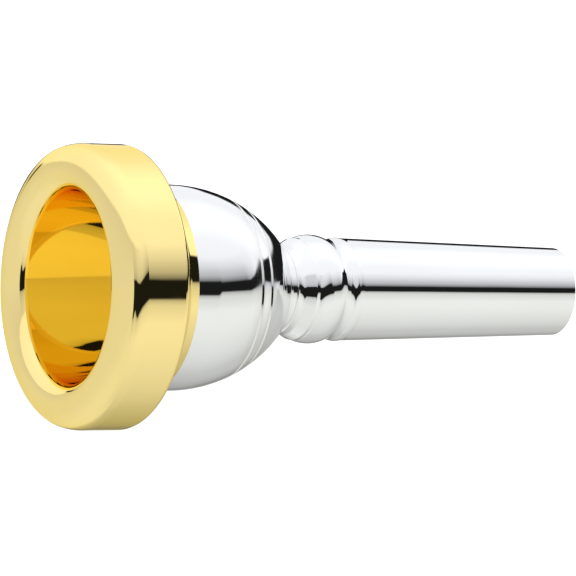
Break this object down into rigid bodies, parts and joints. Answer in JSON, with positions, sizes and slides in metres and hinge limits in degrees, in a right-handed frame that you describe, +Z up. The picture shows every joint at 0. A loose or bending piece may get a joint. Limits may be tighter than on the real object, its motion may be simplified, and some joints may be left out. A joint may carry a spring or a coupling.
{
  "type": "trombone mouthpiece",
  "caption": "Large-shank trombone mouthpiece with a gilt screw rim, a silver-plated cup and a silver-plated tapered shank, sealed by rubber rings.",
  "frame": {"origin": "centre of the annular end face of the shank, on the bore's axis", "axes": "+X along the bore from the rim to the free end of the shank, +Z up; the outside is round about X"},
  "size_m": [0.08, 0.0386, 0.0386],
  "materials": {
    "gold_plate": "polished gold plate over brass",
    "silver_plate": "polished silver plate over brass",
    "seal_rubber": "smooth black nitrile rubber"
  },
  "bodies": {
    "shank": {"shank": "silver_plate"},
    "shank_seal": {"shank_seal": "seal_rubber"},
    "cup": {"cup": "silver_plate"},
    "rim_seal": {"rim_seal": "seal_rubber"},
    "rim": {"rim": "gold_plate"}
  },
  "joints": [
    {"name": "cup_travel", "type": "slide", "parent": "shank", "child": "shank_seal", "axis": [-1, 0, 0], "range_m": [0, 0.0055]},
    {"name": "cup_screw", "type": "hinge", "parent": "shank_seal", "child": "cup", "pos_m": [-0.05, 0, 0], "axis": [-1, 0, 0], "range_deg": [0, 1979]},
    {"name": "rim_travel", "type": "slide", "parent": "cup", "child": "rim_seal", "axis": [-1, 0, 0], "range_m": [0, 0.006]},
    {"name": "rim_screw", "type": "hinge", "parent": "rim_seal", "child": "rim", "pos_m": [-0.07, 0, 0], "axis": [-1, 0, 0], "range_deg": [0, 2159]}
  ],
  "couplings": [
    {"joint": "cup_travel", "follows": "cup_screw", "m_per_rad": 0.00015915},
    {"joint": "rim_travel", "follows": "rim_screw", "m_per_rad": 0.00015915}
  ]
}
